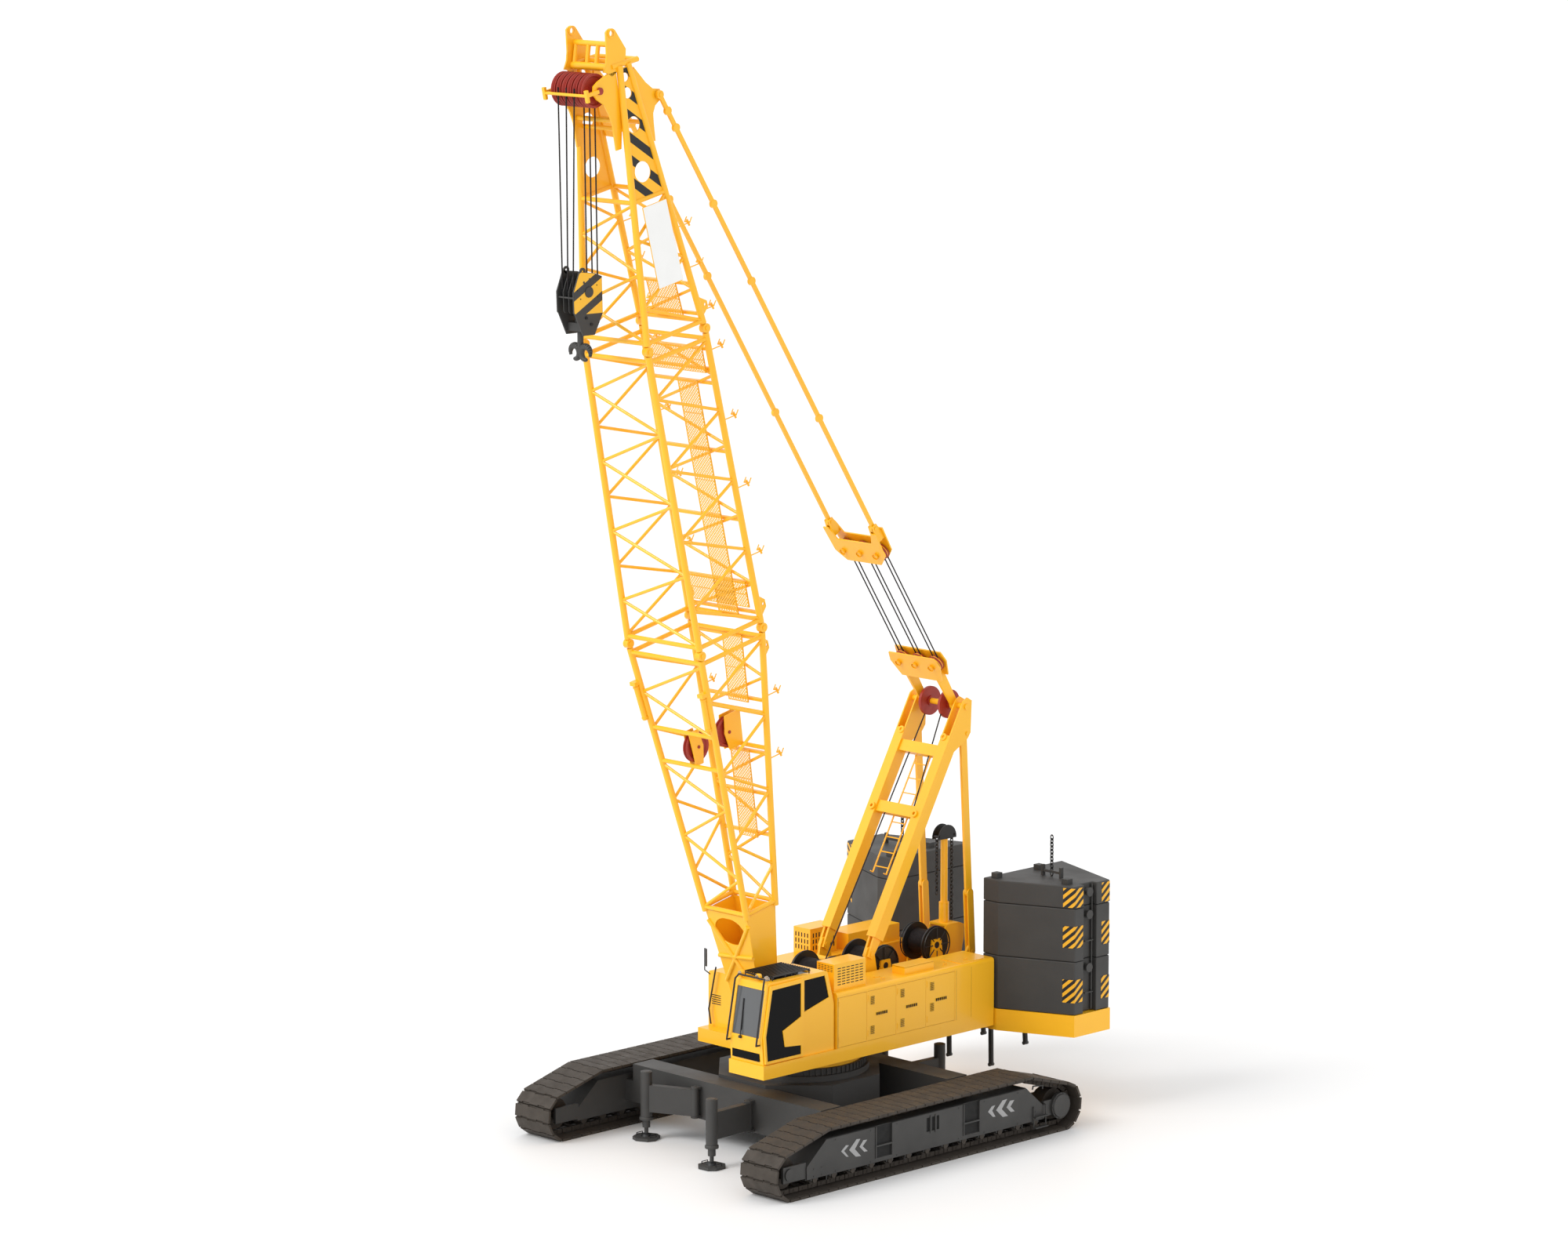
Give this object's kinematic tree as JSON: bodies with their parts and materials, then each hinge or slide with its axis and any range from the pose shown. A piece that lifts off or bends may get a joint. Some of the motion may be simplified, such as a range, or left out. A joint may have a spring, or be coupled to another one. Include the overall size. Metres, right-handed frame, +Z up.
{
  "type": "crawler crane",
  "caption": "Crawler crane on two tracks with a slewing upper works, lattice boom held by a rear mast and pendants, cab, winches, stacked counterweights and swing-out jacks.",
  "frame": {"origin": "on the ground at the slewing axis, midway between the tracks", "axes": "+X towards the boom, +Y to the left where the cab stands, +Z up"},
  "size_m": [12.7249, 7.5, 22.5752],
  "materials": {
    "yellow_paint": "gloss",
    "charcoal_paint": "satin",
    "track_steel": "worn",
    "red_paint": "satin",
    "bare_steel": "brushed",
    "black_paint": "satin"
  },
  "bodies": {
    "undercarriage": {"car_body": "charcoal_paint", "slew_ring": "charcoal_paint", "track_frame_left": "charcoal_paint", "track_frame_right": "charcoal_paint", "track_left": "track_steel", "track_right": "track_steel", "track_wheels_left": "track_steel", "track_wheels_right": "track_steel"},
    "upper_works": {"deck": "yellow_paint", "house_left": "yellow_paint", "house_right": "yellow_paint", "engine_block": "charcoal_paint", "roof_boxes": "yellow_paint", "cab_shell": "yellow_paint", "winch_frames": "yellow_paint", "lift_cylinder": "yellow_paint", "counterweight_left_1": "charcoal_paint", "counterweight_left_2": "charcoal_paint", "counterweight_left_3": "charcoal_paint", "counterweight_right_1": "charcoal_paint", "counterweight_right_2": "charcoal_paint", "counterweight_right_3": "charcoal_paint", "counterweight_tray": "yellow_paint"},
    "boom": {"boom_foot": "yellow_paint", "boom_middle": "yellow_paint", "boom_head": "yellow_paint"},
    "head_sheaves": {"head_sheaves": "red_paint"},
    "hook_block": {"hook_block": "yellow_paint"},
    "hook": {"hook": "bare_steel"},
    "mast": {"mast": "yellow_paint"},
    "mast_sheaves": {"mast_sheaves": "red_paint"},
    "lower_block": {"lower_block": "yellow_paint"},
    "pendants": {"pendants": "yellow_paint", "spreader": "yellow_paint"},
    "stays_upper": {"stays_upper": "yellow_paint"},
    "stays_lower": {"stays_lower": "yellow_paint"},
    "cab_door": {"cab_door": "yellow_paint"},
    "winch_drum_front": {"winch_drum_front": "black_paint"},
    "winch_drum_rear": {"winch_drum_rear": "black_paint"},
    "luffing_drum": {"luffing_drum": "black_paint"},
    "lift_rod": {"lift_rod": "yellow_paint"},
    "jack_arm_front_left": {"jack_arm_front_left": "charcoal_paint"},
    "jack_rod_front_left": {"jack_rod_front_left": "charcoal_paint"},
    "jack_arm_front_right": {"jack_arm_front_right": "charcoal_paint"},
    "jack_rod_front_right": {"jack_rod_front_right": "charcoal_paint"},
    "jack_arm_rear_left": {"jack_arm_rear_left": "charcoal_paint"},
    "jack_rod_rear_left": {"jack_rod_rear_left": "charcoal_paint"},
    "jack_arm_rear_right": {"jack_arm_rear_right": "charcoal_paint"},
    "jack_rod_rear_right": {"jack_rod_rear_right": "charcoal_paint"},
    "left_door_1": {"left_door_1": "yellow_paint"},
    "left_door_2": {"left_door_2": "yellow_paint"},
    "left_door_3": {"left_door_3": "yellow_paint"},
    "left_door_4": {"left_door_4": "yellow_paint"},
    "right_door_1": {"right_door_1": "yellow_paint"},
    "right_door_2": {"right_door_2": "yellow_paint"}
  },
  "joints": [
    {"name": "slewing", "type": "hinge", "parent": "undercarriage", "child": "upper_works", "pos_m": [0, 0, 0], "axis": [0, 0, 1], "continuous": true},
    {"name": "boom_luffing", "type": "hinge", "parent": "upper_works", "child": "boom", "pos_m": [1.08, 0, 2.25], "axis": [0, 1, 0], "range_deg": [-5, 47.5]},
    {"name": "head_sheaves_level", "type": "hinge", "parent": "boom", "child": "head_sheaves", "pos_m": [5.89492, 0, 21.38135], "axis": [0, 1, 0], "range_deg": [-48, 5.5]},
    {"name": "hook_hoisting", "type": "slide", "parent": "head_sheaves", "child": "hook_block", "axis": [0, 0, 1], "range_m": [-6, 2.4]},
    {"name": "hook_swivel", "type": "hinge", "parent": "hook_block", "child": "hook", "pos_m": [5.89492, 0, 17.36135], "axis": [0, 0, 1], "continuous": true},
    {"name": "pendant_pin", "type": "hinge", "parent": "boom", "child": "pendants", "pos_m": [4.37756, 0, 21.23633], "axis": [0, 1, 0], "range_deg": [-3, 1]},
    {"name": "mast_tilt", "type": "hinge", "parent": "upper_works", "child": "mast", "pos_m": [-1.35, 0, 3.57], "axis": [0, 1, 0], "range_deg": [-25, 0]},
    {"name": "mast_sheave_spin", "type": "hinge", "parent": "mast", "child": "mast_sheaves", "pos_m": [-4.04198, 0, 8.30875], "axis": [0, 1, 0], "continuous": true},
    {"name": "lower_block_swing", "type": "hinge", "parent": "mast", "child": "lower_block", "pos_m": [-4.04198, 0, 8.30875], "axis": [0, 1, 0], "range_deg": [-6, 46]},
    {"name": "stay_top_pin", "type": "hinge", "parent": "mast", "child": "stays_upper", "pos_m": [-4.07068, 0, 7.7519], "axis": [0, 1, 0], "range_deg": [-23, 1]},
    {"name": "stay_foot_pin", "type": "hinge", "parent": "upper_works", "child": "stays_lower", "pos_m": [-4.33, 0, 3.15], "axis": [0, 1, 0], "range_deg": [-1, 58]},
    {"name": "cab_door_slide", "type": "slide", "parent": "upper_works", "child": "cab_door", "axis": [-1, 0, 0], "range_m": [0, 0.85]},
    {"name": "front_winch", "type": "hinge", "parent": "upper_works", "child": "winch_drum_front", "pos_m": [-0.55, 0, 3.18], "axis": [0, 1, 0], "continuous": true},
    {"name": "rear_winch", "type": "hinge", "parent": "upper_works", "child": "winch_drum_rear", "pos_m": [-2.03, 0, 3.18], "axis": [0, 1, 0], "continuous": true},
    {"name": "luffing_winch", "type": "hinge", "parent": "upper_works", "child": "luffing_drum", "pos_m": [-3.65, 0, 3.33], "axis": [0, 1, 0], "continuous": true},
    {"name": "lift_stroke", "type": "slide", "parent": "upper_works", "child": "lift_rod", "axis": [0, 0, 1], "range_m": [-1.3, 0]},
    {"name": "jack_swing_front_left", "type": "hinge", "parent": "undercarriage", "child": "jack_arm_front_left", "pos_m": [2.19, 0.76, 0], "axis": [0, 0, 1], "range_deg": [-20, 80]},
    {"name": "jack_stroke_front_left", "type": "slide", "parent": "jack_arm_front_left", "child": "jack_rod_front_left", "axis": [0, 0, 1], "range_m": [-0.3, 0.22]},
    {"name": "jack_swing_front_right", "type": "hinge", "parent": "undercarriage", "child": "jack_arm_front_right", "pos_m": [2.19, -0.76, 0], "axis": [0, 0, 1], "range_deg": [-17, 80]},
    {"name": "jack_stroke_front_right", "type": "slide", "parent": "jack_arm_front_right", "child": "jack_rod_front_right", "axis": [0, 0, 1], "range_m": [-0.3, 0.22]},
    {"name": "jack_swing_rear_left", "type": "hinge", "parent": "undercarriage", "child": "jack_arm_rear_left", "pos_m": [-2.19, 0.76, 0], "axis": [0, 0, 1], "range_deg": [-80, 20]},
    {"name": "jack_stroke_rear_left", "type": "slide", "parent": "jack_arm_rear_left", "child": "jack_rod_rear_left", "axis": [0, 0, 1], "range_m": [-0.3, 0.22]},
    {"name": "jack_swing_rear_right", "type": "hinge", "parent": "undercarriage", "child": "jack_arm_rear_right", "pos_m": [-2.19, -0.76, 0], "axis": [0, 0, 1], "range_deg": [-20, 80]},
    {"name": "jack_stroke_rear_right", "type": "slide", "parent": "jack_arm_rear_right", "child": "jack_rod_rear_right", "axis": [0, 0, 1], "range_m": [-0.3, 0.22]},
    {"name": "left_door_1_hinge", "type": "hinge", "parent": "upper_works", "child": "left_door_1", "pos_m": [0.522, 1.65, 0], "axis": [0, 0, -1], "range_deg": [0, 90]},
    {"name": "left_door_2_hinge", "type": "hinge", "parent": "upper_works", "child": "left_door_2", "pos_m": [-0.308, 1.65, 0], "axis": [0, 0, -1], "range_deg": [0, 90]},
    {"name": "left_door_3_hinge", "type": "hinge", "parent": "upper_works", "child": "left_door_3", "pos_m": [-1.148, 1.65, 0], "axis": [0, 0, -1], "range_deg": [0, 90]},
    {"name": "left_door_4_hinge", "type": "hinge", "parent": "upper_works", "child": "left_door_4", "pos_m": [-2.008, 1.65, 0], "axis": [0, 0, -1], "range_deg": [0, 90]},
    {"name": "right_door_1_hinge", "type": "hinge", "parent": "upper_works", "child": "right_door_1", "pos_m": [0.872, -1.65, 0], "axis": [0, 0, 1], "range_deg": [0, 90]},
    {"name": "right_door_2_hinge", "type": "hinge", "parent": "upper_works", "child": "right_door_2", "pos_m": [-1.528, -1.65, 0], "axis": [0, 0, 1], "range_deg": [0, 90]}
  ],
  "couplings": [
    {"joint": "head_sheaves_level", "follows": "boom_luffing", "ratio": -1},
    {"joint": "pendant_pin", "follows": "boom_luffing", "ratio": -0.044},
    {"joint": "lower_block_swing", "follows": "boom_luffing", "ratio": 0.956},
    {"joint": "stay_top_pin", "follows": "mast_tilt", "ratio": 0.876},
    {"joint": "stay_foot_pin", "follows": "mast_tilt", "ratio": -2.26}
  ]
}
